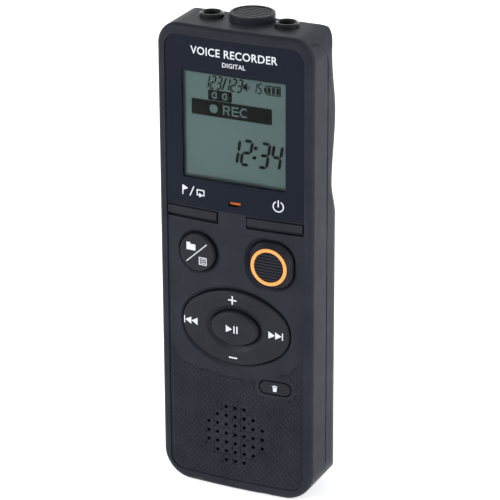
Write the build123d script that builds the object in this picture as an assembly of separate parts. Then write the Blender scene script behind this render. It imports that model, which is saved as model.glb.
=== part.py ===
"""Handheld voice recorder, standing upright: front towards -Y, top towards +Z, millimetres."""
import math
import os

from build123d import *

os.makedirs("parts", exist_ok=True)

# ------------------------------------------------------------------ case
WIDTH = 36.0
THICKNESS = 16.8            # crown of the front to the flat of the back
CASE_HEIGHT = 105.8         # without the microphone cap
FRONT_RADIUS = 165.0        # the front is gently curved about a vertical axis
TOP_CORNER = 5.0
BOTTOM_CORNER = 6.5
BACK_EDGE = 5.0             # rounding between the sides and the back
RIM_ROUND = 1.3             # rounding of the front rim
HEEL_ROUND, HEAD_ROUND = 6.0, 2.8
HALF = CASE_HEIGHT / 2
STEP_HEIGHT = 10.6          # the back steps in above this, for the fingers
UPPER_BACK = (              # height and thickness where the upper back turns in or out
    (STEP_HEIGHT, THICKNESS),
    (18.4, 14.85),
    (33.8, 16.5),
    (47.0, 14.7),
)
BACK_SECTIONS = 24          # evenly spaced sections that carry the upper back
RECORD_PROUD = 1.05         # the record button stands this far ahead of the crown

# Depths are measured back from the crown of the front.
PANEL_DEPTH = 0.3           # the front panel lies below the rim
PANEL_BACK = 2.0            # flat inner side of the front wall
SPLIT_DEPTH = 8.6           # joint line between the two shells
BACK_INSIDE = 15.6
UPPER_BACK_INSIDE = 13.2
INSIDE_HALF_WIDTH = 16.4
INSIDE_HALF_HEIGHT = 51.3

# ------------------------------------------------------------------ front openings
PANEL_HALF_WIDTH = 16.1
PANEL_TOP = 50.7
PANEL_BOTTOM = -50.6
PANEL_CORNER = 3.2
WINDOW_BOTTOM = 12.65
WINDOW_BACK = 1.4
LCD_WIDTH, LCD_BOTTOM, LCD_TOP = 24.0, 19.2, 43.0
LAMP_AT = (0.2, 14.7)
KEY_TOP, KEY_BOTTOM = 12.3, 9.7
LEFT_KEY = (-16.0, -3.75)   # from and to, across the front
RIGHT_KEY = (3.0, 15.95)
FOLDER_AT, FOLDER_RADIUS = (-8.7, 2.3), 4.25
RECORD_AT, RECORD_SIDE, RECORD_CORNER = (8.7, 2.2), 10.0, 3.9
NAV_AT, NAV_HALF, NAV_END = (0.1, -13.9), (12.7, 8.5), 6.3
PLAY_HALF, PLAY_END = (5.6, 3.9), 2.9
ERASE_AT, ERASE_SIZE = (9.5, -26.5), (7.1, 2.9)
SPEAKER_AT, HOLE_PITCH, HOLE_RADIUS = (0.0, -39.5), 2.156, 0.45
HOLE_ROWS = (3, 5, 7, 7, 7, 5, 3)
GAP = 0.28                  # around each button
WELL_WIDTH, WELL_DEPTH = 1.0, 0.8

# ------------------------------------------------------------------ buttons and electronics
FLANGE_NEAR, FLANGE_FAR, FLANGE_WIDTH = 2.05, 2.4, 0.6
PLAY_FLANGE_NEAR, PLAY_FLANGE_FAR = 2.5, 2.8
RING_BACK, WEB_NEAR, WEB_FAR = 2.2, 2.5, 2.65
SHEET_NEAR, SHEET_FAR = 3.1, 3.3
CONTACT_FAR = 3.55
BOARD_NEAR, BOARD_FAR = 3.6, 4.4
BOARD_HALF_WIDTH, BOARD_TOP, BOARD_BOTTOM = 15.7, 50.4, -28.0

JACK_X, JACK_DEPTH, JACK_BORE = 8.65, 8.5, 1.8
JACK_COLLAR, JACK_TOP, JACK_LENGTH = 2.6, 53.8, 15.5
MIC_DEPTH, MIC_RADIUS, MIC_TOP, MIC_STEM = 10.2, 4.85, 54.4, 3.3
USB_Z, USB_DEPTH, USB_WIDTH, USB_THICK = 20.0, 5.85, 7.6, 2.6

CELL_RADIUS, CELL_LENGTH, CELL_DEPTH, CELL_X = 5.25, 44.5, 10.25, 5.4
CELL_BOTTOM = -46.9
TRAY_WALL, TRAY_TOP, TRAY_BOTTOM, TRAY_BACK = 0.8, -0.3, -49.0, 13.0
COVER_HALF_WIDTH, COVER_TOP, COVER_GAP = 13.2, 9.0, 0.15
SCREWS = ((-13.7, 46.4), (13.7, 46.4), (-0.2, 4.4))
LOWER_SEAT = 10.4            # where the head of the lowest screw rests

# Heights are measured from the middle of the front, and depths back from its crown.
FRONT = Plane(
    origin=(0, (RECORD_PROUD - THICKNESS) / 2, HALF), x_dir=(1, 0, 0), z_dir=(0, -1, 0)
)


# ------------------------------------------------------------------ helpers
def slab(outline, near, far):
    """Extrude an outline drawn on the front (x, z) between two depths."""
    return extrude(FRONT * Pos(0, 0, -far) * outline, amount=far - near)


def rect(left, right, bottom, top, radius=0.0):
    """A rectangle on the front by its edges, with rounded corners if a radius is given."""
    width, height = right - left, top - bottom
    shape = RectangleRounded(width, height, radius) if radius else Rectangle(width, height)
    return Pos((left + right) / 2, (bottom + top) / 2) * shape


def box(left, right, bottom, top, near, far):
    """A plain block by its edges across, up and into the case."""
    return slab(rect(left, right, bottom, top), near, far)


def rod(x, z, radius, near, far):
    """A round bar that runs into the case."""
    return slab(Pos(x, z) * Circle(radius), near, far)


def post(x, depth, radius, bottom, top):
    """A round bar that runs up the case."""
    place = Plane(FRONT.origin) * Pos(x, depth, bottom)
    return place * Cylinder(radius, top - bottom, align=(Align.CENTER, Align.CENTER, Align.MIN))


def crown(depth):
    """Everything behind the curved front surface at a depth."""
    reach = 4 * THICKNESS
    place = Plane(FRONT.origin) * Pos(0, depth + FRONT_RADIUS, 0)
    return place * Cylinder(FRONT_RADIUS, reach * 4)


def side_prism(outline, half_width):
    """Extrude an outline of (depth, height) points across the case."""
    side = Plane(FRONT.origin, x_dir=(0, 1, 0), z_dir=(1, 0, 0))
    return extrude(side * outline, amount=half_width, both=True)


def oval(half_width, half_height, end_radius):
    """A closed outline of four arcs that meet smoothly."""
    flat = (half_width**2 + half_height**2 - 2 * half_width * end_radius) / (
        2 * (half_height - end_radius)
    )
    lean = (half_width - end_radius) / (flat - end_radius)
    rise = (flat - half_height) / (flat - end_radius)
    join_x, join_z = flat * lean, half_height - flat + flat * rise
    arcs = ThreePointArc((-join_x, join_z), (0, half_height), (join_x, join_z))
    arcs += ThreePointArc((join_x, join_z), (half_width, 0), (join_x, -join_z))
    arcs += ThreePointArc((join_x, -join_z), (0, -half_height), (-join_x, -join_z))
    arcs += ThreePointArc((-join_x, -join_z), (-half_width, 0), (-join_x, join_z))
    return make_face(arcs)


def funnel(outline, near, depth, width):
    """A space that narrows by a width over a depth, from an outline at its near end."""
    face = FRONT * Pos(0, 0, -near) * outline
    return extrude(face, amount=-depth, taper=math.degrees(math.atan2(width, depth)))


def well(outline_of, near=PANEL_DEPTH, width=WELL_WIDTH, depth=WELL_DEPTH):
    """A chamfered hollow around a button; outline_of(grow) draws its outline."""
    lead = 0.8
    slope = width / depth
    return funnel(outline_of(GAP + slope * (depth + lead)), near - lead, depth + lead, slope * (depth + lead))


def front_edges(shape):
    """The edges around the face that looks most towards the front."""
    return shape.faces().sort_by(Axis.Y)[0].edges()


# ------------------------------------------------------------------ case solids
def plan_outline(thickness):
    """The case seen from above where it has a given thickness."""
    half_width = WIDTH / 2
    sag = half_width**2 / (2 * FRONT_RADIUS)
    knee = thickness - BACK_EDGE
    shift = BACK_EDGE * (1 - math.sqrt(0.5))
    outline = ThreePointArc((-half_width, sag), (0, 0), (half_width, sag))
    outline += Line((half_width, sag), (half_width, knee))
    outline += ThreePointArc(
        (half_width, knee), (half_width - shift, thickness - shift), (half_width - BACK_EDGE, thickness)
    )
    outline += Line((half_width - BACK_EDGE, thickness), (BACK_EDGE - half_width, thickness))
    outline += ThreePointArc(
        (BACK_EDGE - half_width, thickness), (shift - half_width, thickness - shift), (-half_width, knee)
    )
    outline += Line((-half_width, knee), (-half_width, sag))
    return make_face(outline)


def back_thickness(height):
    """The case's thickness at a height above the step, eased between the turns."""
    for (low, thick_low), (high, thick_high) in zip(UPPER_BACK, UPPER_BACK[1:]):
        if height <= high:
            ease = (1 - math.cos(math.pi * (height - low) / (high - low))) / 2
            return thick_low + (thick_high - thick_low) * ease
    return UPPER_BACK[-1][1]


def corner_waste(side, end, radius):
    """What a rounded corner of the front outline takes off, right through the thickness."""
    inner = (side * (WIDTH / 2 - radius), end * (HALF - radius))
    outer = (side * (WIDTH / 2 + 1), end * (HALF + 1))
    square = rect(*sorted((inner[0], outer[0])), *sorted((inner[1], outer[1])))
    return slab(square - Pos(*inner) * Circle(radius), -2.0, THICKNESS + 2)


def case_solid():
    """The whole outer form of the case, before it is split."""
    base = Plane(FRONT.origin)
    rise = (HALF + 1 - STEP_HEIGHT) / BACK_SECTIONS
    heights = [STEP_HEIGHT + rise * i for i in range(BACK_SECTIONS + 1)]
    lower = extrude(base * Pos(0, 0, -HALF - 1) * plan_outline(THICKNESS), amount=HALF + 1 + STEP_HEIGHT)
    upper = loft([base * Pos(0, 0, height) * plan_outline(back_thickness(height)) for height in heights])
    outline = Line((-1.0, -HALF), (THICKNESS - HEEL_ROUND, -HALF))
    outline += CenterArc((THICKNESS - HEEL_ROUND, HEEL_ROUND - HALF), HEEL_ROUND, -90, 90)
    head_back, head_bend = UPPER_BACK[-1][1], HALF - HEAD_ROUND
    outline += Polyline((THICKNESS, HEEL_ROUND - HALF), (THICKNESS, head_bend), (head_back, head_bend))
    outline += CenterArc((head_back - HEAD_ROUND, head_bend), HEAD_ROUND, 0, 90)
    outline += Polyline((head_back - HEAD_ROUND, HALF), (-1.0, HALF), (-1.0, -HALF))

    solid = (lower + upper) & side_prism(make_face(outline), WIDTH + 2)
    for side in (-1, 1):
        solid -= corner_waste(side, 1, TOP_CORNER)
        solid -= corner_waste(side, -1, BOTTOM_CORNER)
    return fillet(front_edges(solid), RIM_ROUND)


def hollow_solid():
    """The space inside the two shells."""
    side = Polyline(
        (PANEL_BACK, -INSIDE_HALF_HEIGHT),
        (12.2, -INSIDE_HALF_HEIGHT),
        (BACK_INSIDE, -47.2),
        (BACK_INSIDE, COVER_TOP),
        (UPPER_BACK_INSIDE, COVER_TOP + 2.4),
        (UPPER_BACK_INSIDE, 46.5),
        (10.6, INSIDE_HALF_HEIGHT),
        (PANEL_BACK, INSIDE_HALF_HEIGHT),
        close=True,
    )
    plan = Polyline(
        (-INSIDE_HALF_WIDTH, PANEL_BACK),
        (-INSIDE_HALF_WIDTH, 12.4),
        (-COVER_HALF_WIDTH, BACK_INSIDE),
        (COVER_HALF_WIDTH, BACK_INSIDE),
        (INSIDE_HALF_WIDTH, 12.4),
        (INSIDE_HALF_WIDTH, PANEL_BACK),
        close=True,
    )
    face = RectangleRounded(2 * INSIDE_HALF_WIDTH, 2 * INSIDE_HALF_HEIGHT, 4.4)
    column = extrude(Plane(FRONT.origin) * Pos(0, 0, -HALF) * make_face(plan), amount=CASE_HEIGHT)
    return slab(face, 0, THICKNESS) & side_prism(make_face(side), WIDTH) & column


def front_part():
    """The space that the front shell takes: it sweeps forward over the top."""
    bend = 6.0
    lip = SPLIT_DEPTH - bend
    turn = HALF - 1.6 - bend
    outline = Line((-2, -HALF - 2), (SPLIT_DEPTH, -HALF - 2))
    outline += Line((SPLIT_DEPTH, -HALF - 2), (SPLIT_DEPTH, turn))
    outline += CenterArc((lip, turn), bend, 0, 90)
    outline += Polyline((lip, turn + bend), (lip, HALF + 2), (-2, HALF + 2), (-2, -HALF - 2))
    return side_prism(make_face(outline), WIDTH)


def speaker_holes():
    """Centres of the round holes in front of the speaker."""
    centre_x, centre_z = SPEAKER_AT
    middle = (len(HOLE_ROWS) - 1) / 2
    return [
        (centre_x + (column - (count - 1) / 2) * HOLE_PITCH, centre_z + (middle - row) * HOLE_PITCH)
        for row, count in enumerate(HOLE_ROWS)
        for column in range(count)
    ]


# ------------------------------------------------------------------ outlines of the controls
def folder_outline(grow=0.0):
    return Pos(*FOLDER_AT) * Circle(FOLDER_RADIUS + grow)


def record_outline(grow=0.0):
    side = RECORD_SIDE + 2 * grow
    return Pos(*RECORD_AT) * RectangleRounded(side, side, RECORD_CORNER + grow)


def nav_outline(grow=0.0):
    half_width, half_height = NAV_HALF
    return Pos(*NAV_AT) * oval(half_width + grow, half_height + grow, NAV_END + grow)


def play_outline(grow=0.0):
    half_width, half_height = PLAY_HALF
    return Pos(*NAV_AT) * oval(half_width + grow, half_height + grow, PLAY_END + grow)


def erase_outline(grow=0.0):
    width, height = ERASE_SIZE
    pill = SlotOverall(width + 2 * grow, height + 2 * grow)
    return Pos(*ERASE_AT) * pill


def key_outline(span, grow=0.0):
    return rect(span[0] - grow, span[1] + grow, KEY_BOTTOM - grow, KEY_TOP + grow)


# ------------------------------------------------------------------ shells
def front_shell(walls):
    shell = walls & front_part()
    panel = rect(-PANEL_HALF_WIDTH, PANEL_HALF_WIDTH, PANEL_BOTTOM, PANEL_TOP, PANEL_CORNER)
    shell -= slab(panel, -2, PANEL_BACK) - crown(PANEL_DEPTH)
    pocket = slab(panel, -2, WINDOW_BACK) & box(-WIDTH, WIDTH, WINDOW_BOTTOM, HALF, -2, WINDOW_BACK)
    shell -= pocket
    shell -= box(-13.2, 13.2, LCD_BOTTOM - 2.0, LCD_TOP + 1.2, 0, 3)
    shell -= slab(Pos(*LAMP_AT) * SlotOverall(3.6, 1.6), 0, 3)
    shell -= slab(key_outline(LEFT_KEY, 0.1), -2, 3)
    shell -= slab(key_outline(RIGHT_KEY, 0.1), -2, 3)
    for outline in (folder_outline, record_outline, nav_outline):
        shell -= well(outline)
        shell -= slab(outline(GAP), -2, 3)
    shell -= slab(erase_outline(GAP), -2, 3)
    for x, z in speaker_holes():
        shell -= rod(x, z, HOLE_RADIUS, -2, 3)
    shell -= box(-WIDTH, -15, USB_Z - 4.1, USB_Z + 4.1, USB_DEPTH - 1.6, USB_DEPTH + 1.6)
    for x, z in SCREWS:
        shell += rod(x, z, 1.5, 1.6, SPLIT_DEPTH - 0.2)
        shell -= rod(x, z, 0.85, 3.2, SPLIT_DEPTH + 1)
    return shell


def rear_shell(walls, case):
    shell = walls - front_part()
    cut_half, cut_top = COVER_HALF_WIDTH + COVER_GAP, COVER_TOP + COVER_GAP
    shell -= box(-cut_half, cut_half, -HALF - 1, cut_top, SPLIT_DEPTH + 0.5, THICKNESS + 1)
    shell += box(-INSIDE_HALF_WIDTH, INSIDE_HALF_WIDTH, 1.6, 8.2, SPLIT_DEPTH + 0.05, 9.4)
    for x, z in SCREWS:
        seat = LOWER_SEAT if z < STEP_HEIGHT else UPPER_BACK_INSIDE
        shell += rod(x, z, 1.9, SPLIT_DEPTH, seat + 0.8 if z > STEP_HEIGHT else seat) & case
        shell -= rod(x, z, 0.95, SPLIT_DEPTH - 1, THICKNESS + 1)
        shell -= rod(x, z, 1.45, seat, THICKNESS + 1)
    for sign in (-1, 1):
        shell -= post(sign * JACK_X, JACK_DEPTH, JACK_COLLAR + 0.05, HALF - 4, HALF + 2)
    shell -= post(0, MIC_DEPTH, MIC_STEM + 0.05, HALF - 7, HALF + 2)
    shell -= post(0, MIC_DEPTH, MIC_RADIUS + 0.05, HALF - 0.8, HALF + 2)
    for row in range(7):
        z = 30.6 + row * 0.9
        shell -= box(-9.0, 9.0, z, z + 0.4, 16.15, THICKNESS + 1)
    return shell


def battery_cover(walls):
    """Slides down and off; its lower end closes the bottom of the battery space."""
    half = COVER_HALF_WIDTH
    cover = walls & box(-half, half, -HALF - 1, COVER_TOP, SPLIT_DEPTH + 0.65, THICKNESS + 1)
    for sign in (-1, 1):
        for z in (-34.0, -20.0, -6.0):
            stem = box(*sorted((sign * 12.3, sign * 13.1)), z, z + 4, 14.0, BACK_INSIDE)
            toe = box(*sorted((sign * 12.3, sign * 13.75)), z, z + 4, 13.8, 14.5)
            cover += stem + toe
    for row in range(5):
        z = 3.6 - row * 1.3
        cover -= box(-4.5, 4.5, z, z + 0.6, THICKNESS - 0.35, THICKNESS + 1)
    return cover


# ------------------------------------------------------------------ front pieces
def display_window():
    clear = 0.05
    outline = rect(
        clear - PANEL_HALF_WIDTH, PANEL_HALF_WIDTH - clear, WINDOW_BOTTOM, PANEL_TOP - clear, PANEL_CORNER
    ) + rect(
        clear - PANEL_HALF_WIDTH, PANEL_HALF_WIDTH - clear, WINDOW_BOTTOM + clear, WINDOW_BOTTOM + 8
    )
    window = slab(outline & rect(-WIDTH, WIDTH, WINDOW_BOTTOM + clear, HALF), -1, WINDOW_BACK)
    return window & crown(PANEL_DEPTH - 0.1)


def bar_key(span):
    """A bar under the window with a sloping lower edge and a flange behind the panel."""
    cap = slab(key_outline((span[0] + 0.12, span[1] - 0.12), -0.1), -2, 2.1) & crown(0.0)
    lower = cap.edges().filter_by(Axis.Z, reverse=True).group_by(Axis.Z)[0]
    cap = chamfer(lower.sort_by(Axis.Y)[0], 0.75)
    limit = INSIDE_HALF_WIDTH - 0.3
    flange_span = (max(span[0] - 0.25, -limit), min(span[1] + 0.25, limit))
    return cap + slab(key_outline(flange_span, 0.2), FLANGE_NEAR, FLANGE_FAR)


def capped_button(outline_of, front_depth, rounding, near=FLANGE_NEAR, far=FLANGE_FAR):
    """A button with a rounded, gently crowned cap and a wider flange behind it."""
    cap = slab(outline_of(), -3, near) & crown(front_depth)
    cap = fillet(front_edges(cap), rounding)
    return cap + slab(outline_of(FLANGE_WIDTH), near, far)


def record_button():
    """A rounded square that rises to a round, ribbed top."""
    top_radius, shoulder = 4.3, 0.35
    base = slab(record_outline(), shoulder, FLANGE_NEAR)
    lower = FRONT * Pos(0, 0, -shoulder) * record_outline()
    upper = FRONT * Pos(0, 0, 0.75) * Pos(*RECORD_AT) * Circle(top_radius + 0.15)
    button = base + loft([lower, upper])
    button += rod(*RECORD_AT, top_radius, -0.85, 0)
    button += slab(record_outline(FLANGE_WIDTH), FLANGE_NEAR, FLANGE_FAR)
    button -= rod(*RECORD_AT, 4.2, -2, -0.55) - rod(*RECORD_AT, 3.4, -2, 0)
    x, z = RECORD_AT
    for row in range(10):
        low = z - 3.3 + row * 0.68
        button -= box(x - 4, x + 4, low, low + 0.26, -2, -0.6) & rod(x, z, 3.3, -2, 0)
    return button


def record_ring():
    ring = rod(*RECORD_AT, 4.2, -RECORD_PROUD, -0.55) - rod(*RECORD_AT, 3.42, -2, 0)
    return fillet(front_edges(ring), 0.2)


def navigation_ring():
    ring = slab(nav_outline(), -2, RING_BACK) & crown(PANEL_DEPTH - 0.1)
    ring = fillet(front_edges(ring), 0.45)
    ring -= funnel(play_outline(GAP + 2.4), -0.4, 1.35, 2.4)
    return ring - slab(play_outline(GAP), -2, 3)


def navigation_pivot():
    """The springy web that lets the ring rock; the play button passes through it."""
    web = slab(nav_outline(-1.2), WEB_NEAR, WEB_FAR)
    return web - slab(play_outline(1.4), 2, 3)


# ------------------------------------------------------------------ electronics
def keypad_sheet():
    sheet = box(-15.5, 15.5, BOARD_BOTTOM + 0.6, 12.8, SHEET_NEAR, SHEET_FAR)
    x, z = SCREWS[-1]
    return sheet - rod(x, z, 1.8, 2, 4)


def key_contacts():
    """Metal domes, one under each place that is pressed."""
    nav_x, nav_z = NAV_AT
    places = [(-9.8, 11.0), (9.5, 11.0), (-11.5, 1.4), (11.6, 1.4), ERASE_AT, NAV_AT]
    places += [(nav_x - 9.4, nav_z), (nav_x + 9.4, nav_z), (nav_x, nav_z - 6.2), (nav_x, nav_z + 6.2)]
    domes = [rod(x, z, 1.4, SHEET_FAR + 0.05, CONTACT_FAR) for x, z in places]
    return Compound(children=domes)


def main_board():
    outline = rect(-BOARD_HALF_WIDTH, BOARD_HALF_WIDTH, BOARD_BOTTOM, BOARD_TOP)
    outline = chamfer(outline.vertices().group_by(Axis.Y)[-1], 2.0)
    board = slab(outline, BOARD_NEAR, BOARD_FAR)
    for x, z in SCREWS:
        board -= rod(x, z, 1.8, 3, 5)
    return board


def board_chips():
    """The processor, the memory and the small amplifier on the back of the board."""
    chips = [
        box(-4.5, 4.5, 22.0, 31.0, BOARD_FAR, BOARD_FAR + 1.0),
        box(-5.0, 5.0, 9.6, 18.0, BOARD_FAR, BOARD_FAR + 1.0),
        box(7.5, 11.5, 24.0, 28.0, BOARD_FAR, BOARD_FAR + 0.8),
    ]
    return Compound(children=chips)


def lcd_panel():
    return box(-12.6, 12.6, LCD_BOTTOM - 1.6, LCD_TOP + 0.8, WINDOW_BACK + 0.05, 3.1)


def lcd_frame():
    outer = box(-13.1, 13.1, LCD_BOTTOM - 1.95, LCD_TOP + 1.15, WINDOW_BACK + 0.1, BOARD_NEAR)
    inner = box(-12.65, 12.65, LCD_BOTTOM - 1.65, LCD_TOP + 0.85, 0, 3.15)
    return outer - inner - box(-10, 10, LCD_BOTTOM + 2, LCD_TOP - 2, 3, 4)


def record_lamp():
    return slab(Pos(*LAMP_AT) * SlotOverall(3.2, 1.2), WINDOW_BACK + 0.05, BOARD_NEAR)


def audio_jack(sign):
    x = sign * JACK_X
    low = JACK_TOP - JACK_LENGTH
    jack = box(x - 3.0, x + 3.0, low, low + 10, BOARD_FAR + 0.9, 11.5)
    for leg in (-2.5, 2.5):
        jack += box(x + leg - 0.3, x + leg + 0.3, low + 2, low + 4, BOARD_FAR, 6)
    jack += post(x, JACK_DEPTH, JACK_COLLAR, low + 9, JACK_TOP)
    jack -= post(x, JACK_DEPTH, JACK_BORE, JACK_TOP - 14, JACK_TOP + 1)
    lip = jack.edges().filter_by(GeomType.CIRCLE).group_by(Axis.Z)[-1]
    return chamfer(lip, 0.3)


def microphone_cap():
    """A low ribbed drum that stands on the top wall, with a stem through it."""
    cap = post(0, MIC_DEPTH, MIC_RADIUS, HALF - 0.75, MIC_TOP)
    cap = fillet(cap.edges().group_by(Axis.Z)[-1], 0.3)
    cap -= post(0, MIC_DEPTH, MIC_RADIUS - 0.7, MIC_TOP - 0.45, MIC_TOP + 1)
    for row in range(-3, 4):
        depth = MIC_DEPTH + row * 1.05
        rib = box(-MIC_RADIUS, MIC_RADIUS, MIC_TOP - 0.5, MIC_TOP - 0.12, depth - 0.3, depth + 0.3)
        cap += rib & post(0, MIC_DEPTH, MIC_RADIUS - 0.6, HALF, MIC_TOP)
    cap += post(0, MIC_DEPTH, MIC_STEM, 50.2, HALF + 0.1)
    return cap - post(0, MIC_DEPTH, 2.4, 50, HALF + 0.3)


def microphone_boot():
    """Rubber cup that holds the capsule away from the case."""
    boot = post(0, MIC_DEPTH, 2.35, 47.4, 51.3) - post(0, MIC_DEPTH, 2.02, 48.0, 52)
    return boot - post(0, MIC_DEPTH, 0.6, 47, 49)


def microphone_capsule():
    return post(0, MIC_DEPTH, 2.0, 48.0, 50.6)


def speaker():
    x, z = SPEAKER_AT
    basket = rod(x, z, 9.6, 2.45, 3.4) + rod(x, z, 6.0, 3.4, 4.35)
    return basket - rod(x, z, 8.6, 2.2, 2.75)


def speaker_mesh():
    return rod(*SPEAKER_AT, 9.6, PANEL_BACK, PANEL_BACK + 0.4) - rod(*SPEAKER_AT, 8.8, 2.15, 3)


def usb_socket():
    """A flat metal sleeve whose mouth looks out of the left side."""
    left, right = -17.6, -12.2
    low, high = USB_Z - USB_WIDTH / 2, USB_Z + USB_WIDTH / 2
    near, far = USB_DEPTH - USB_THICK / 2, USB_DEPTH + USB_THICK / 2
    sleeve = box(left, right, low, high, near, far)
    sleeve -= box(left - 1, right - 0.5, low + 0.3, high - 0.3, near + 0.3, far - 0.3)
    tongue = box(left + 0.8, right - 0.2, low + 1.4, high - 1.4, USB_DEPTH - 0.3, USB_DEPTH + 0.3)
    return sleeve + tongue


# ------------------------------------------------------------------ power
def battery_cell(sign):
    x = sign * CELL_X
    cap_up = sign > 0
    top = CELL_BOTTOM + CELL_LENGTH
    can = post(x, CELL_DEPTH, CELL_RADIUS, CELL_BOTTOM + (0 if cap_up else 0.9), top - (0.9 if cap_up else 0))
    can = fillet(can.edges().filter_by(GeomType.CIRCLE), 0.4)
    low, high = (top - 1.0, top) if cap_up else (CELL_BOTTOM, CELL_BOTTOM + 1.0)
    return can + post(x, CELL_DEPTH, 1.9, low, high)


def battery_tray():
    """Open tray that holds the two cells, with cross walls for the contacts."""
    near = BOARD_FAR + 0.05
    half = 2 * CELL_X + 0.3
    tray = box(-half - TRAY_WALL, half + TRAY_WALL, TRAY_BOTTOM, TRAY_TOP, near, TRAY_BACK)
    return tray - box(-half, half, TRAY_BOTTOM + TRAY_WALL, TRAY_TOP - TRAY_WALL, 4.95, TRAY_BACK + 1)


def contact_plates():
    """Flat plates where the button ends of the cells touch."""
    top = CELL_BOTTOM + CELL_LENGTH
    return Compound(
        children=[
            box(CELL_X - 3.5, CELL_X + 3.5, top + 0.02, top + 0.3, 7.0, 12.8),
            box(-CELL_X - 3.5, -CELL_X + 3.5, CELL_BOTTOM - 0.3, CELL_BOTTOM - 0.02, 7.0, 12.8),
        ]
    )


def contact_spring(sign):
    """A conical spring, pressed by the flat end of its cell."""
    turns, wire = 3, 0.25
    top = CELL_BOTTOM + CELL_LENGTH
    low, high = (CELL_BOTTOM - 1.2, CELL_BOTTOM) if sign > 0 else (top, top + 1.2)
    rings = []
    for turn in range(turns):
        radius = 3.6 - turn * 0.8
        step = wire + turn * (high - low - 2 * wire) / (turns - 1)
        z = low + step if sign > 0 else high - step
        place = Plane(FRONT.origin) * Pos(sign * CELL_X, CELL_DEPTH, z)
        rings.append(place * Torus(radius, wire))
    return rings


def case_screws():
    screws = []
    for x, z in SCREWS:
        seat = LOWER_SEAT if z < STEP_HEIGHT else UPPER_BACK_INSIDE
        screw = rod(x, z, 1.35, seat, seat + 0.9)
        screw = fillet(screw.edges().group_by(Axis.Y)[-1], 0.3)
        screw += rod(x, z, 0.8, 4.2, seat)
        for width, height in ((1.6, 0.4), (0.4, 1.6)):
            screw -= slab(Pos(x, z) * Rectangle(width, height), seat + 0.4, seat + 2)
        screws.append(screw)
    return Compound(children=screws)


def main():
    case = case_solid()
    walls = case - hollow_solid()
    pieces = {
        "front_shell": front_shell(walls),
        "rear_shell": rear_shell(walls, case),
        "battery_cover": battery_cover(walls),
        "display_window": display_window(),
        "index_key": bar_key(LEFT_KEY),
        "power_key": bar_key(RIGHT_KEY),
        "folder_button": capped_button(folder_outline, -0.25, 0.6),
        "record_button": record_button(),
        "record_ring": record_ring(),
        "navigation_ring": navigation_ring(),
        "navigation_pivot": navigation_pivot(),
        "play_button": capped_button(play_outline, -0.3, 0.75, PLAY_FLANGE_NEAR, PLAY_FLANGE_FAR),
        "erase_button": capped_button(erase_outline, 0.2, 0.25),
        "keypad_sheet": keypad_sheet(),
        "key_contacts": key_contacts(),
        "main_board": main_board(),
        "board_chips": board_chips(),
        "lcd_panel": lcd_panel(),
        "lcd_frame": lcd_frame(),
        "record_lamp": record_lamp(),
        "earphone_jack": audio_jack(-1),
        "microphone_jack": audio_jack(1),
        "microphone_cap": microphone_cap(),
        "microphone_boot": microphone_boot(),
        "microphone_capsule": microphone_capsule(),
        "speaker": speaker(),
        "speaker_mesh": speaker_mesh(),
        "usb_socket": usb_socket(),
        "battery_left": battery_cell(-1),
        "battery_right": battery_cell(1),
        "battery_tray": battery_tray(),
        "contact_plates": contact_plates(),
        "contact_springs": Compound(children=contact_spring(-1) + contact_spring(1)),
        "case_screws": case_screws(),
    }
    for node, shape in pieces.items():
        export_step(shape, f"parts/{node}.step")


main()
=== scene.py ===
"""Looks of the handheld voice recorder: materials, printed marks, display, grip texture and studio."""
import math

import bmesh
import bpy
from mathutils import Matrix, Vector


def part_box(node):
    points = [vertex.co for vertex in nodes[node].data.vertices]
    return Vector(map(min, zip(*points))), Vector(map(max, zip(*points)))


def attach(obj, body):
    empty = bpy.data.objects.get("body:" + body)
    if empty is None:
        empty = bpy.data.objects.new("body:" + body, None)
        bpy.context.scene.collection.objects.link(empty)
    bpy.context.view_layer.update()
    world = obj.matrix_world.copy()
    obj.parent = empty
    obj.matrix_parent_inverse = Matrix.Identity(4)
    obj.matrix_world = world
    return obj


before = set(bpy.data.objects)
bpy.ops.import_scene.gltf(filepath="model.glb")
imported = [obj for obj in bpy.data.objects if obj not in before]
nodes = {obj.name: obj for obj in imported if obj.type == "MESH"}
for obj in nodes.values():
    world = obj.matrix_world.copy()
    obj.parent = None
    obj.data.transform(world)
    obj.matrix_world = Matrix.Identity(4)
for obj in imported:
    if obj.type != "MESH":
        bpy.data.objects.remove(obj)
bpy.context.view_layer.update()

MM = 0.001

# ------------------------------------------------------------------ places, taken from the frame
FRONT_RADIUS = 165.0 * MM
SHELL_LOW, SHELL_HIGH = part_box("front_shell")
LCD_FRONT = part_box("lcd_panel")[0].y
CROWN_Y = SHELL_LOW.y                    # the front's most forward line
MIDDLE_Z = (SHELL_LOW.z + SHELL_HIGH.z) / 2
PARTING_BEND = 6.0 * MM                  # the shells part along the sides and forward over the top
PARTING_LIP = CROWN_Y + 2.6 * MM
PARTING_TURN = SHELL_HIGH.z - 1.6 * MM - PARTING_BEND
PARTING_HALF = 0.17 * MM
PANEL_DEPTH = 0.3 * MM
WINDOW_DEPTH = 0.2 * MM


def front_y(x, depth):
    """The height over the floor plan of a point on the crowned front, at a depth behind the crown."""
    return CROWN_Y + depth + x * x / (2 * FRONT_RADIUS)


# ------------------------------------------------------------------ materials
def new_material(name):
    material = bpy.data.materials.new(name)
    material.use_nodes = True
    tree = material.node_tree
    shader = tree.nodes["Principled BSDF"]
    return material, tree, shader


def noise(tree, scale, detail=3.0, roughness=0.5):
    coords = tree.nodes.new("ShaderNodeTexCoord")
    node = tree.nodes.new("ShaderNodeTexNoise")
    node.inputs["Scale"].default_value = scale
    node.inputs["Detail"].default_value = detail
    node.inputs["Roughness"].default_value = roughness
    tree.links.new(coords.outputs["Object"], node.inputs["Vector"])
    return node


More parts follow.
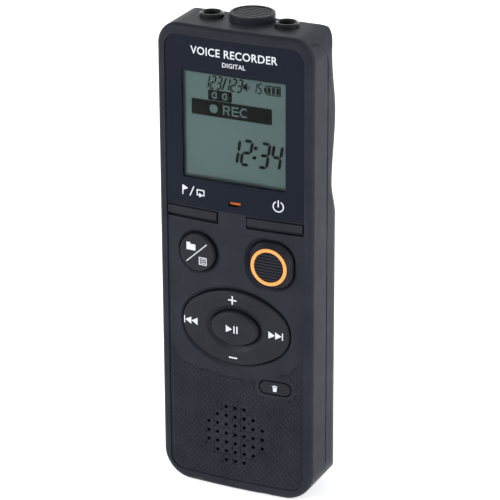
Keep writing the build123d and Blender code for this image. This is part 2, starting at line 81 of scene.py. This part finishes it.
def ramp(tree, source, low, high, start=0.35, end=0.65):
    node = tree.nodes.new("ShaderNodeValToRGB")
    node.color_ramp.elements[0].position = start
    node.color_ramp.elements[0].color = (*low, 1)
    node.color_ramp.elements[1].position = end
    node.color_ramp.elements[1].color = (*high, 1)
    tree.links.new(source.outputs[0], node.inputs["Fac"])
    return node


def bump(tree, shader, source, strength, distance):
    node = tree.nodes.new("ShaderNodeBump")
    node.inputs["Strength"].default_value = strength
    node.inputs["Distance"].default_value = distance
    tree.links.new(source.outputs[0], node.inputs["Height"])
    tree.links.new(node.outputs["Normal"], shader.inputs["Normal"])
    return node


def moulded(name, low, high, roughness, grain=2600.0, depth=0.012, spread=0.08, shine=0.09):
    """Moulded plastic: a fine spark-eroded grain, with slight mottling of colour and gloss."""
    material, tree, shader = new_material(name)
    shader.inputs["Specular IOR Level"].default_value = shine
    mottle = noise(tree, 140.0, 4.0)
    colour = ramp(tree, mottle, low, high)
    tree.links.new(colour.outputs["Color"], shader.inputs["Base Color"])
    gloss = tree.nodes.new("ShaderNodeMapRange")
    gloss.inputs["To Min"].default_value = roughness - spread
    gloss.inputs["To Max"].default_value = roughness + spread
    tree.links.new(noise(tree, 420.0, 5.0).outputs[0], gloss.inputs["Value"])
    tree.links.new(gloss.outputs[0], shader.inputs["Roughness"])
    bump(tree, shader, noise(tree, grain, 2.0), 0.35, depth * MM)
    return material


def grey(value):
    return (value, value, value)


CASE_LOW, CASE_HIGH = (0.019, 0.021, 0.028), (0.024, 0.027, 0.035)
case_plastic = moulded("case_plastic", CASE_LOW, CASE_HIGH, 0.42, shine=0.06)
# Near-black painted shade for the seam between the shells, where the gap lies in shadow.
seam_painted_shade = moulded("seam_painted_shade", grey(0.0015), grey(0.003), 0.8, shine=0.02)
key_plastic = moulded("key_plastic", (0.017, 0.018, 0.023), (0.021, 0.022, 0.028), 0.38)
jack_plastic = moulded("jack_plastic", grey(0.012), grey(0.018), 0.25, shine=0.3)
inner_plastic = moulded("inner_plastic", grey(0.02), grey(0.03), 0.5)
rubber = moulded("rubber", (0.10, 0.10, 0.11), (0.14, 0.14, 0.15), 0.7)
orange_trim = moulded("orange_trim", (0.95, 0.36, 0.09), (1.0, 0.42, 0.12), 0.3)
print_white = moulded("print_white", (0.62, 0.65, 0.70), (0.70, 0.73, 0.78), 0.5)
lcd_ink = moulded("lcd_ink", grey(0.003), grey(0.006), 0.5, shine=0.05)
chip_plastic = moulded("chip_plastic", grey(0.015), grey(0.025), 0.6)
board_green = moulded("board_green", (0.01, 0.10, 0.04), (0.02, 0.14, 0.06), 0.35)
mesh_black = moulded("mesh_black", grey(0.006), grey(0.012), 0.9)


def metal(name, colour, roughness):
    material, tree, shader = new_material(name)
    shader.inputs["Metallic"].default_value = 1.0
    shade = ramp(tree, noise(tree, 300.0, 6.0), [c * 0.85 for c in colour], colour)
    tree.links.new(shade.outputs["Color"], shader.inputs["Base Color"])
    shader.inputs["Roughness"].default_value = roughness
    bump(tree, shader, noise(tree, 1800.0), 0.2, 0.01 * MM)
    return material


steel = metal("steel", (0.62, 0.60, 0.56), 0.3)
dark_steel = metal("dark_steel", (0.25, 0.25, 0.26), 0.35)
cell_jacket = metal("cell_jacket", (0.10, 0.16, 0.28), 0.35)


def lcd_ground():
    """The display's grey-green ground, with a faint random mottle."""
    material, tree, shader = new_material("lcd_ground")
    shade = ramp(tree, noise(tree, 60.0, 2.0), (0.078, 0.128, 0.123), (0.084, 0.136, 0.131))
    tree.links.new(shade.outputs["Color"], shader.inputs["Base Color"])
    shader.inputs["Roughness"].default_value = 0.45
    shader.inputs["Specular IOR Level"].default_value = 0.1
    bump(tree, shader, noise(tree, 4000.0), 0.1, 0.01 * MM)
    return material


def lamp_lens():
    material, tree, shader = new_material("lamp_lens")
    shade = ramp(tree, noise(tree, 900.0), (0.85, 0.16, 0.03), (0.95, 0.24, 0.05))
    tree.links.new(shade.outputs["Color"], shader.inputs["Base Color"])
    tree.links.new(shade.outputs["Color"], shader.inputs["Emission Color"])
    shader.inputs["Emission Strength"].default_value = 0.35
    shader.inputs["Roughness"].default_value = 0.25
    return material


def inside_box(tree, low, high):
    """1 where the point lies between low and high across (x) and up (z), else 0."""
    coords = tree.nodes.new("ShaderNodeTexCoord")
    split = tree.nodes.new("ShaderNodeSeparateXYZ")
    tree.links.new(coords.outputs["Object"], split.inputs[0])
    result = None
    for axis, edge, mode in (
        ("X", low[0], "GREATER_THAN"),
        ("X", high[0], "LESS_THAN"),
        ("Z", low[1], "GREATER_THAN"),
        ("Z", high[1], "LESS_THAN"),
    ):
        test = tree.nodes.new("ShaderNodeMath")
        test.operation = mode
        test.inputs[1].default_value = edge
        tree.links.new(split.outputs[axis], test.inputs[0])
        if result is None:
            result = test
            continue
        both = tree.nodes.new("ShaderNodeMath")
        both.operation = "MULTIPLY"
        tree.links.new(result.outputs[0], both.inputs[0])
        tree.links.new(test.outputs[0], both.inputs[1])
        result = both
    return result


LCD_HALF_WIDTH = 12.0 * MM
LCD_VIEW_LOW = MIDDLE_Z + 19.2 * MM
LCD_VIEW_HIGH = MIDDLE_Z + 43.0 * MM
LAMP_VIEW = ((-1.3 * MM, MIDDLE_Z + 14.2 * MM), (1.7 * MM, MIDDLE_Z + 15.2 * MM))


def window_glass():
    """Glass printed dark behind, clear over the display."""
    material, tree, shader = new_material("window_glass")
    shade = ramp(tree, noise(tree, 30.0, 1.0), (0.005, 0.008, 0.015), (0.007, 0.010, 0.018))
    tree.links.new(shade.outputs["Color"], shader.inputs["Base Color"])
    shader.inputs["Roughness"].default_value = 0.12
    shader.inputs["Specular IOR Level"].default_value = 0.08
    clear = tree.nodes.new("ShaderNodeBsdfTransparent")
    gloss = tree.nodes.new("ShaderNodeBsdfGlossy")
    gloss.inputs["Roughness"].default_value = 0.08
    fresnel = tree.nodes.new("ShaderNodeFresnel")
    fresnel.inputs["IOR"].default_value = 1.16
    pane = tree.nodes.new("ShaderNodeMixShader")
    tree.links.new(fresnel.outputs[0], pane.inputs["Fac"])
    tree.links.new(clear.outputs[0], pane.inputs[1])
    tree.links.new(gloss.outputs[0], pane.inputs[2])
    display = inside_box(tree, (-LCD_HALF_WIDTH, LCD_VIEW_LOW), (LCD_HALF_WIDTH, LCD_VIEW_HIGH))
    lamp = inside_box(tree, *LAMP_VIEW)
    mask = tree.nodes.new("ShaderNodeMath")
    mask.operation = "MAXIMUM"
    tree.links.new(display.outputs[0], mask.inputs[0])
    tree.links.new(lamp.outputs[0], mask.inputs[1])
    whole = tree.nodes.new("ShaderNodeMixShader")
    tree.links.new(mask.outputs[0], whole.inputs["Fac"])
    tree.links.new(shader.outputs[0], whole.inputs[1])
    tree.links.new(pane.outputs[0], whole.inputs[2])
    tree.links.new(whole.outputs[0], tree.nodes["Material Output"].inputs["Surface"])
    return material


lcd_material = lcd_ground()
lamp_material = lamp_lens()
window_material = window_glass()

NODE_MATERIALS = {
    "front_shell": case_plastic,
    "rear_shell": case_plastic,
    "battery_cover": case_plastic,
    "display_window": window_material,
    "index_key": key_plastic,
    "power_key": key_plastic,
    "folder_button": key_plastic,
    "record_button": key_plastic,
    "record_ring": orange_trim,
    "navigation_ring": key_plastic,
    "navigation_pivot": rubber,
    "play_button": key_plastic,
    "erase_button": key_plastic,
    "keypad_sheet": rubber,
    "key_contacts": steel,
    "main_board": board_green,
    "board_chips": chip_plastic,
    "lcd_panel": lcd_material,
    "lcd_frame": inner_plastic,
    "record_lamp": lamp_material,
    "earphone_jack": jack_plastic,
    "microphone_jack": jack_plastic,
    "microphone_cap": key_plastic,
    "microphone_boot": rubber,
    "microphone_capsule": steel,
    "speaker": dark_steel,
    "speaker_mesh": mesh_black,
    "usb_socket": steel,
    "battery_left": cell_jacket,
    "battery_right": cell_jacket,
    "battery_tray": inner_plastic,
    "contact_plates": steel,
    "contact_springs": steel,
    "case_screws": dark_steel,
}


def paint(piece, material):
    piece.data.materials.clear()
    piece.data.materials.append(material)


for node, material in NODE_MATERIALS.items():
    paint(nodes[node], material)


# ------------------------------------------------------------------ mesh helpers
def add_piece(name, mesh, material, body):
    piece = bpy.data.objects.new(name, mesh)
    bpy.context.scene.collection.objects.link(piece)
    paint(piece, material)
    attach(piece, body)
    return piece


def printed(name, outlines, depth, material, body):
    """Marks laid on the crowned front at a depth; outlines are closed lists of (across, up) in mm."""
    mesh = bpy.data.meshes.new(name)
    form = bmesh.new()
    for outline in outlines:
        verts = []
        for across, up in outline:
            x = across * MM
            verts.append(form.verts.new((x, front_y(x, depth) - 0.03 * MM, MIDDLE_Z + up * MM)))
        form.faces.new(verts)
    form.to_mesh(mesh)
    form.free()
    return add_piece(name, mesh, material, body)


# ------------------------------------------------------------------ outlines, in mm from the front's middle
def block(left, low, right, high):
    return [(left, low), (right, low), (right, high), (left, high)]


def bar(start, end, width):
    """A straight stroke between two points."""
    run = Vector(end) - Vector(start)
    side = Vector((-run.y, run.x)).normalized() * width / 2
    a, b = Vector(start), Vector(end)
    return [tuple(a + side), tuple(a - side), tuple(b - side), tuple(b + side)]


def disc(at, radius, count=28):
    steps = [2 * math.pi * i / count for i in range(count)]
    return [(at[0] + radius * math.cos(a), at[1] + radius * math.sin(a)) for a in steps]


def arc_band(at, radius, width, start, end, count=20):
    """An open ring, drawn as one closed outline from start to end degrees."""
    steps = [math.radians(start + (end - start) * i / count) for i in range(count + 1)]
    far, near = radius + width / 2, radius - width / 2
    outer = [(at[0] + far * math.cos(a), at[1] + far * math.sin(a)) for a in steps]
    inner = [(at[0] + near * math.cos(a), at[1] + near * math.sin(a)) for a in steps]
    return outer + inner[::-1]


def round_block(left, low, right, high, radius, count=5):
    points = []
    corners = (
        (right - radius, low + radius, -90),
        (right - radius, high - radius, 0),
        (left + radius, high - radius, 90),
        (left + radius, low + radius, 180),
    )
    for x, y, start in corners:
        for i in range(count + 1):
            a = math.radians(start + 90 * i / count)
            points.append((x + radius * math.cos(a), y + radius * math.sin(a)))
    return points


def frame_bars(left, low, right, high, width):
    return [
        block(left, low, right, low + width),
        block(left, high - width, right, high),
        block(left, low + width, left + width, high - width),
        block(right - width, low + width, right, high - width),
    ]


def triangle(at, reach, direction):
    """A pointer: reach is (length, half height), direction 1 points to the right."""
    x, y = at
    length, half = reach
    return [(x, y - half), (x + direction * length, y), (x, y + half)][::direction]


# Seven strokes of a segmented digit on a unit cell, and which of them each digit lights.
SEGMENTS = {
    "a": ((0, 2), (1, 2)),
    "b": ((1, 1), (1, 2)),
    "c": ((1, 0), (1, 1)),
    "d": ((0, 0), (1, 0)),
    "e": ((0, 0), (0, 1)),
    "f": ((0, 1), (0, 2)),
    "g": ((0, 1), (1, 1)),
}
LIT = {
    "0": "abcdef",
    "1": "bc",
    "2": "abged",
    "3": "abgcd",
    "4": "fgbc",
    "5": "afgcd",
    "6": "afgedc",
    "7": "abc",
    "8": "abcdefg",
    "9": "abcdfg",
}


def segment_digit(digit, at, size, width, lean):
    """Segment strokes with pointed ends; at is the lower left, size (across, up), lean in mm per mm up."""
    across, up = size
    strokes = []
    for name in LIT[digit]:
        (x0, y0), (x1, y1) = SEGMENTS[name]
        start = Vector((x0 * across, y0 * up / 2))
        end = Vector((x1 * across, y1 * up / 2))
        along = (end - start).normalized()
        side = Vector((-along.y, along.x)) * width / 2
        gap = along * width * 0.12
        start, end = start + gap, end - gap
        tip = along * width / 2
        points = (start, start + tip - side, end - tip - side, end, end - tip + side, start + tip + side)
        strokes.append([(at[0] + p.x + lean * p.y, at[1] + p.y) for p in points])
    return strokes


def segment_text(text, at, size, width, pitch, lean):
    strokes = []
    x, y = at
    across, up = size
    for sign in text:
        if sign == "/":
            strokes.append(bar((x, y), (x + across * 0.5 + lean * up, y + up), width))
            x += pitch * 0.35
            continue
        elif sign == ":":
            for level in (0.28, 0.68):
                dot = block(x - width * 0.6, y + up * level, x + width * 0.6, y + up * level + width * 1.1)
                strokes.append([(px + lean * (py - y), py) for px, py in dot])
            x += pitch * 0.42
            continue
        else:
            strokes += segment_digit(sign, (x, y), size, width, lean)
        x += pitch
    return strokes


def plain_letters(text, at, size, width):
    """Plain stroke letters R, E and C on a cell."""
    across, up = size
    middle = up / 2
    x, y = at
    outlines = []
    for sign in text:
        half = width / 2
        left, right = x + half, x + across - half
        if sign in "RE":
            outlines.append(block(x, y, x + width, y + up))
        if sign == "E":
            for level in (half, middle, up - half):
                outlines.append(block(left, y + level - half, right + half, y + level + half))
        if sign == "R":
            turn = right - (up - middle) / 2 + half
            for level in (middle, up - half):
                outlines.append(block(left, y + level - half, turn, y + level + half))
            bowl = (turn, y + (middle + up - half) / 2)
            outlines.append(arc_band(bowl, (up - half - middle) / 2, width, -90, 90))
            outlines.append(bar((turn - 0.1, y + middle), (right, y), width))
        if sign == "C":
            outlines.append(arc_band((x + across * 0.52, y + middle), middle - half, width, 50, 310))
        x += across * 1.28
    return outlines


# ------------------------------------------------------------------ display


def flat_marks(name, outlines, y, material, body, thickness=0.03):
    """Flat marks at one depth, in mm from the front's middle."""
    mesh = bpy.data.meshes.new(name)
    form = bmesh.new()
    for outline in outlines:
        verts = [form.verts.new((across * MM, y, MIDDLE_Z + up * MM)) for across, up in outline]
        face = form.faces.new(verts)
        grown = bmesh.ops.extrude_face_region(form, geom=[face])
        for vert in (v for v in grown["geom"] if isinstance(v, bmesh.types.BMVert)):
            vert.co.y += thickness * MM
    bmesh.ops.recalc_face_normals(form, faces=form.faces)
    form.to_mesh(mesh)
    form.free()
    return add_piece(name, mesh, material, body)


def display_marks():
    """Counter, speaker, level, battery, mode tab, the wide bar and the clock."""
    ink = segment_text("123/123", (-7.2, 39.5), (0.92, 2.7), 0.36, 1.42, 0.2)
    ink += [block(1.85, 40.35, 2.25, 41.25), [(2.25, 40.35), (2.85, 39.8), (2.85, 41.8), (2.25, 41.25)]]
    ink.append(arc_band((2.7, 40.8), 0.62, 0.2, -45, 45, 6))
    ink += segment_text("15", (4.0, 39.85), (0.76, 2.2), 0.28, 1.15, 0.2)
    ink += frame_bars(7.1, 39.8, 10.5, 41.9, 0.24)
    ink.append(block(6.7, 40.35, 7.1, 41.35))
    for i in range(3):
        ink.append(block(7.5 + i * 1.0, 40.2, 8.2 + i * 1.0, 41.5))
    ink.append(round_block(-6.2, 36.9, -0.7, 39.2, 0.3))
    ink.append(block(-10.1, 33.3, 8.5, 36.8))
    ink += segment_text("12:34", (-1.6, 23.6), (1.9, 5.4), 0.7, 2.85, 0.16)
    flat_marks("display_ink", ink, LCD_FRONT - 0.06 * MM, lcd_ink, "case")

    light = plain_letters("REC", (-2.8, 34.0), (1.6, 2.1), 0.34)
    light.append(disc((-4.95, 35.05), 0.95))
    for x in (-4.65, -2.25):
        light.append(arc_band((x, 38.05), 0.62, 0.34, 40, 320, 14))
        light.append(disc((x + 0.3, 38.05), 0.26, 10))
    flat_marks("display_light", light, LCD_FRONT - 0.10 * MM, lcd_material, "case")


def display_shadow():
    """Painted shadow: a dark soft border, stepped in behind the window's printed edge, standing in for the
    shade that edge casts on the display.
    """
    steps = []
    for i in range(5):
        inset = 0.16 * i
        steps += frame_bars(-12.3 + inset, 18.9 + inset, 12.3 - inset, 43.3 - inset, 0.16)
    flat_marks("display_painted_shadow", steps, LCD_FRONT - 0.03 * MM, lcd_painted_shadow, "case")


# ------------------------------------------------------------------ printed marks
def window_marks():
    """Flag and loop over the left key, power sign over the right one; the caption at the top is lettered
    apart.
    """
    marks = [block(-12.2, 15.05, -11.95, 17.25), [(-11.95, 17.25), (-10.75, 16.65), (-11.95, 16.05)]]
    marks.append(bar((-10.35, 15.05), (-9.35, 17.25), 0.24))
    marks.append(block(-8.7, 16.55, -7.0, 16.8))
    marks.append(block(-8.7, 15.4, -8.45, 16.8))
    marks.append(block(-8.7, 15.4, -8.05, 15.65))
    marks.append(block(-7.05, 15.4, -6.8, 16.8))
    marks.append(block(-7.4, 15.4, -6.8, 15.65))
    marks.append([(-8.05, 14.95), (-7.35, 15.52), (-8.05, 16.1)])
    power = (10.33, 15.78)
    marks.append(arc_band(power, 1.15, 0.26, 118, 422, 28))
    marks.append(block(power[0] - 0.13, power[1] - 0.1, power[0] + 0.13, power[1] + 1.45))
    printed("window_marks", marks, WINDOW_DEPTH, print_white, "case")


def lettering(name, text, at, height, width_scale, depth, material, body):
    """Plain generic lettering, set flat and then bent to the crown."""
    curve = bpy.data.curves.new(name, "FONT")
    curve.body = text
    curve.size = height * MM / 0.72
    curve.align_x = "CENTER"
    curve.resolution_u = 3
    curve.space_character = 1.05
    curve.offset = 0.02 * height * MM
    holder = bpy.data.objects.new(name, curve)
    bpy.context.scene.collection.objects.link(holder)
    graph = bpy.context.evaluated_depsgraph_get()
    mesh = bpy.data.meshes.new_from_object(holder.evaluated_get(graph))
    bpy.data.objects.remove(holder)
    form = bmesh.new()
    form.from_mesh(mesh)
    for vert in form.verts:
        x = at[0] * MM + vert.co.x * width_scale
        z = MIDDLE_Z + at[1] * MM + vert.co.y
        vert.co = (x, front_y(x, depth) - 0.03 * MM, z)
    form.to_mesh(mesh)
    form.free()
    return add_piece(name, mesh, material, body)


def key_marks():
    """Signs on the navigation ring, play button, folder button and erase pill."""
    x, z = -0.4, -7.4
    ring = [block(x - 1.0, z - 0.16, x + 1.0, z + 0.16), block(x - 0.16, z + 0.16, x + 0.16, z + 1.0)]
    ring.append(block(x - 0.16, z - 1.0, x + 0.16, z - 0.16))
    ring.append(block(-1.3, -21.06, 0.7, -20.74))
    x, z = -10.5, -14.0
    ring.append(block(x - 1.75, z - 0.85, x - 1.5, z + 0.85))
    ring += [triangle((x + 0.05, z), (1.5, 0.85), -1), triangle((x + 1.6, z), (1.5, 0.85), -1)]
    x = 9.65
    ring.append(block(x + 1.5, z - 0.85, x + 1.75, z + 0.85))
    ring += [triangle((x - 1.6, z), (1.5, 0.85), 1), triangle((x - 0.05, z), (1.5, 0.85), 1)]
    printed_on("navigation_marks", ring, "navigation_ring")

    x, z = -0.25, -14.0
    play = [triangle((x - 1.5, z), (1.5, 0.85), 1), block(x + 0.3, z - 0.85, x + 0.62, z + 0.85)]
    play.append(block(x + 1.0, z - 0.85, x + 1.32, z + 0.85))
    printed_on("play_mark", play, "play_button")

    folder = [bar((-11.2, 0.0), (-6.2, 4.6), 0.2)]
    folder += [block(-11.15, 2.75, -8.95, 4.15), block(-11.15, 4.15, -10.2, 4.5)]
    folder += frame_bars(-8.15, -0.3, -6.25, 1.5, 0.2)
    folder += [block(-7.8, level, -6.6, level + 0.16) for level in (0.08, 0.52, 0.96)]
    printed_on("folder_marks", folder, "folder_button")

    x, z = 9.5, -26.5
    erase = [block(x - 0.62, z + 0.42, x + 0.62, z + 0.6), block(x - 0.2, z + 0.6, x + 0.2, z + 0.75)]
    erase.append([(x - 0.4, z - 0.75), (x + 0.4, z - 0.75), (x + 0.5, z + 0.3), (x - 0.5, z + 0.3)])
    printed_on("erase_mark", erase, "erase_button")


def printed_on(name, outlines, node):
    """Marks laid on a key: each corner is dropped onto the key's own surface."""
    target = nodes[node]
    mesh = bpy.data.meshes.new(name)
    form = bmesh.new()
    for outline in outlines:
        form.faces.new([form.verts.new((x * MM, 0, MIDDLE_Z + z * MM)) for x, z in outline])
    bmesh.ops.triangulate(form, faces=form.faces)
    for _ in range(2):
        long_edges = [e for e in form.edges if e.calc_length() > 0.6 * MM]
        bmesh.ops.subdivide_edges(form, edges=long_edges, cuts=1)
        bmesh.ops.triangulate(form, faces=form.faces)
    for vert in form.verts:
        start = Vector((vert.co.x, CROWN_Y - 5 * MM, vert.co.z))
        hit, place, _, _ = target.ray_cast(start, Vector((0, 1, 0)))
        if hit:
            vert.co.y = place.y - 0.03 * MM
    form.to_mesh(mesh)
    form.free()
    return add_piece(name, mesh, print_white, node)


# ------------------------------------------------------------------ grip texture
GRIP_PITCH = 1.3
GRIP_PEAK = 0.29
GRIP_TOP = (
    (-15.7, -19.2),
    (-14.6, -22.2),
    (-12.9, -23.8),
    (-8.1, -24.6),
    (-3.1, -25.3),
    (3.4, -25.2),
    (8.0, -24.2),
    (10.2, -23.2),
    (13.7, -21.2),
    (15.7, -18.9),
)
GRIP_LOW, GRIP_SIDE, GRIP_CORNER = -50.2, 15.75, 3.0
HOLE_PITCH, HOLE_ROWS = 2.156, (3, 5, 7, 7, 7, 5, 3)
SPEAKER_X, SPEAKER_Z = 0.0, -39.5


def grip_top(x):
    for (x0, z0), (x1, z1) in zip(GRIP_TOP, GRIP_TOP[1:]):
        if x0 <= x <= x1:
            return z0 + (z1 - z0) * (x - x0) / (x1 - x0)
    return GRIP_LOW


def hole_centres():
    for row, count in enumerate(HOLE_ROWS):
        for i in range(count):
            yield SPEAKER_X + (i - (count - 1) / 2) * HOLE_PITCH, SPEAKER_Z + (3 - row) * HOLE_PITCH


def grip_allows(x, z, margin):
    """How far inside the textured field a point lies, in mm; negative outside."""
    if abs(x) > GRIP_SIDE:
        return -1.0
    inside = min(GRIP_SIDE - abs(x), z - GRIP_LOW, grip_top(x) - z)
    over_x, below_z = abs(x) - (GRIP_SIDE - GRIP_CORNER), (GRIP_LOW + GRIP_CORNER) - z
    if over_x > 0 and below_z > 0:
        inside = min(inside, GRIP_CORNER - math.hypot(over_x, below_z))
    pill_x = max(abs(x - 9.5) - 2.1, 0)
    inside = min(inside, math.hypot(pill_x, z + 26.5) - 2.45)
    for hole_x, hole_z in hole_centres():
        inside = min(inside, math.hypot(x - hole_x, z - hole_z) - margin)
    return inside


def grip_texture():
    """Rows of small pyramids, turned 45 degrees, faded out at the edges of the field."""
    mesh = bpy.data.meshes.new("grip_texture")
    form = bmesh.new()
    step = GRIP_PITCH / 2
    rows = int((-18 - GRIP_LOW) / step) + 2
    columns = int(2 * GRIP_SIDE / step) + 2
    grid = {}
    for row in range(rows + 1):
        for column in range(columns + 1):
            x = -columns * step / 2 + column * step
            z = GRIP_LOW - step / 2 + row * step
            inside = grip_allows(x, z, 0.62)
            if inside < -0.05:
                continue
            peak = GRIP_PEAK if (row + column) % 2 == 0 else 0.0
            rise = peak * min(max(inside, 0.0) / 0.35, 1.0) if inside > 0 else -0.05
            y = front_y(x * MM, PANEL_DEPTH) - rise * MM
            grid[row, column] = form.verts.new((x * MM, y - 0.012 * MM, MIDDLE_Z + z * MM))
    for (row, column), vert in list(grid.items()):
        corners = [grid.get(key) for key in ((row, column + 1), (row + 1, column + 1), (row + 1, column))]
        if None in corners:
            continue
        right, across, up = corners
        if (row + column) % 2 == 0:
            form.faces.new((vert, right, up))
            form.faces.new((right, across, up))
        else:
            form.faces.new((vert, right, across))
            form.faces.new((vert, across, up))
    bmesh.ops.recalc_face_normals(form, faces=form.faces)
    form.to_mesh(mesh)
    form.free()
    add_piece("grip_texture", mesh, case_plastic, "case")


def parting_path():
    """Points (y, z) and outward directions along the parting line, from the foot to the top."""
    deep = PARTING_LIP + PARTING_BEND
    foot, count = SHELL_LOW.z + 2.0 * MM, 60
    path = []
    for i in range(count + 1):
        path.append((deep, foot + (PARTING_TURN - foot) * i / count, 1.0, 0.0))
    for i in range(1, 13):
        a = math.pi / 2 * i / 12
        across, up = math.cos(a), math.sin(a)
        path.append((PARTING_LIP + PARTING_BEND * across, PARTING_TURN + PARTING_BEND * up, across, up))
    return path


def parting_line():
    """A dark strip down each side where the two shells meet, laid on the shells themselves: painted shade
    standing in for the shaded gap of the seam.
    """
    mesh = bpy.data.meshes.new("parting_line")
    form = bmesh.new()
    shells = (nodes["front_shell"], nodes["rear_shell"])
    for side in (-1, 1):
        before = None
        for y, z, across, up in parting_path():
            pair = []
            for shift in (-PARTING_HALF, PARTING_HALF):
                start = Vector((side * 30 * MM, y + across * shift, z + up * shift))
                hits = [shell.ray_cast(start, Vector((-side, 0, 0))) for shell in shells]
                reached = [abs(place.x) for hit, place, _, _ in hits if hit]
                x = side * (max(reached) + 0.008 * MM)
                pair.append(form.verts.new((min(max(x, SHELL_LOW.x), SHELL_HIGH.x), start.y, start.z)))
            if before:
                form.faces.new((before[0], before[1], pair[1], pair[0])[::side])
            before = pair
    form.to_mesh(mesh)
    form.free()
    add_piece("parting_line", mesh, seam_painted_shade, "case")


# Dark grey-green colour for the painted shadow along the display's edge, where the window's edge shades it.
lcd_painted_shadow = moulded("lcd_painted_shadow", (0.045, 0.062, 0.062), (0.055, 0.072, 0.072), 0.5)
display_shadow()
display_marks()
window_marks()
lettering("caption", "VOICE RECORDER", (0.2, 46.9), 1.75, 0.95, WINDOW_DEPTH, print_white, "case")
lettering("caption_small", "DIGITAL", (0.3, 44.9), 1.0, 1.0, WINDOW_DEPTH, print_white, "case")
key_marks()
grip_texture()
parting_line()

# ------------------------------------------------------------------ studio
def look_matrix(azimuth, elevation, roll, distance, target):
    """A camera's matrix: azimuth 0 looks along +Y, turning towards +X."""
    a, e, r = (math.radians(v) for v in (azimuth, elevation, roll))
    back = Vector((math.sin(a) * math.cos(e), -math.cos(a) * math.cos(e), math.sin(e)))
    right = Vector((math.cos(a), math.sin(a), 0))
    up = back.cross(right)
    turned_right = right * math.cos(r) + up * math.sin(r)
    turned_up = up * math.cos(r) - right * math.sin(r)
    rows = Matrix((turned_right, turned_up, back)).transposed().to_4x4()
    rows.translation = target + back * distance
    return rows


def add_camera():
    data = bpy.data.cameras.new("camera")
    data.sensor_width = 36.0
    data.lens = 191.9
    data.shift_x = 0.0334
    data.shift_y = 0.0384
    data.clip_start = 0.01
    data.clip_end = 10.0
    camera = bpy.data.objects.new("camera", data)
    bpy.context.scene.collection.objects.link(camera)
    camera.matrix_world = look_matrix(25.70, 22.67, -0.43, 0.56865, Vector((0, CROWN_Y, MIDDLE_Z)))
    bpy.context.scene.camera = camera


def add_light(name, azimuth, elevation, distance, size, power, colour=(1, 1, 1)):
    data = bpy.data.lights.new(name, "AREA")
    data.shape = "RECTANGLE"
    data.size, data.size_y = size
    data.energy = power
    data.color = colour
    light = bpy.data.objects.new(name, data)
    bpy.context.scene.collection.objects.link(light)
    light.matrix_world = look_matrix(azimuth, elevation, 0, distance, Vector((0, 0, MIDDLE_Z)))


def add_floor():
    material, tree, shader = new_material("floor_paper")
    shade = ramp(tree, noise(tree, 3.0, 2.0), grey(0.93), grey(0.95))
    tree.links.new(shade.outputs["Color"], shader.inputs["Base Color"])
    tree.links.new(shade.outputs["Color"], shader.inputs["Emission Color"])
    shader.inputs["Emission Strength"].default_value = 0.55
    shader.inputs["Roughness"].default_value = 0.9
    mesh = bpy.data.meshes.new("floor")
    form = bmesh.new()
    reach, back, rise, bend, count = 1.5, 0.9, 1.2, 0.3, 12
    line = [(-reach, 0.0), (back - bend, 0.0)]
    for i in range(1, count + 1):
        turn = math.pi / 2 * i / count
        line.append((back - bend + bend * math.sin(turn), bend - bend * math.cos(turn)))
    line.append((back, rise))
    left = [form.verts.new((-reach, y, z)) for y, z in line]
    right = [form.verts.new((reach, y, z)) for y, z in line]
    for i in range(len(line) - 1):
        form.faces.new((left[i], right[i], right[i + 1], left[i + 1]))
    form.to_mesh(mesh)
    form.free()
    for face in mesh.polygons:
        face.use_smooth = True
    floor = bpy.data.objects.new("floor", mesh)
    bpy.context.scene.collection.objects.link(floor)
    paint(floor, material)


def add_world():
    """A room that is bright around the sides and dim overhead."""
    world = bpy.data.worlds.new("studio")
    world.use_nodes = True
    tree = world.node_tree
    coords = tree.nodes.new("ShaderNodeTexCoord")
    split = tree.nodes.new("ShaderNodeSeparateXYZ")
    fade = tree.nodes.new("ShaderNodeValToRGB")
    fade.color_ramp.elements[0].position = 0.25
    fade.color_ramp.elements[0].color = (0.95, 0.97, 1.0, 1)
    fade.color_ramp.elements[1].position = 0.75
    fade.color_ramp.elements[1].color = (0.16, 0.17, 0.19, 1)
    tree.links.new(coords.outputs["Generated"], split.inputs[0])
    tree.links.new(split.outputs["Z"], fade.inputs["Fac"])
    tree.links.new(fade.outputs["Color"], tree.nodes["Background"].inputs["Color"])
    tree.nodes["Background"].inputs["Strength"].default_value = 0.8
    bpy.context.scene.world = world
    bpy.context.scene.view_settings.view_transform = "Standard"


add_camera()
add_floor()
add_world()
add_light("key_light", -45, 30, 0.9, (0.6, 0.6), 6.0)
add_light("side_light", 95, 15, 0.9, (0.5, 0.8), 6.0)
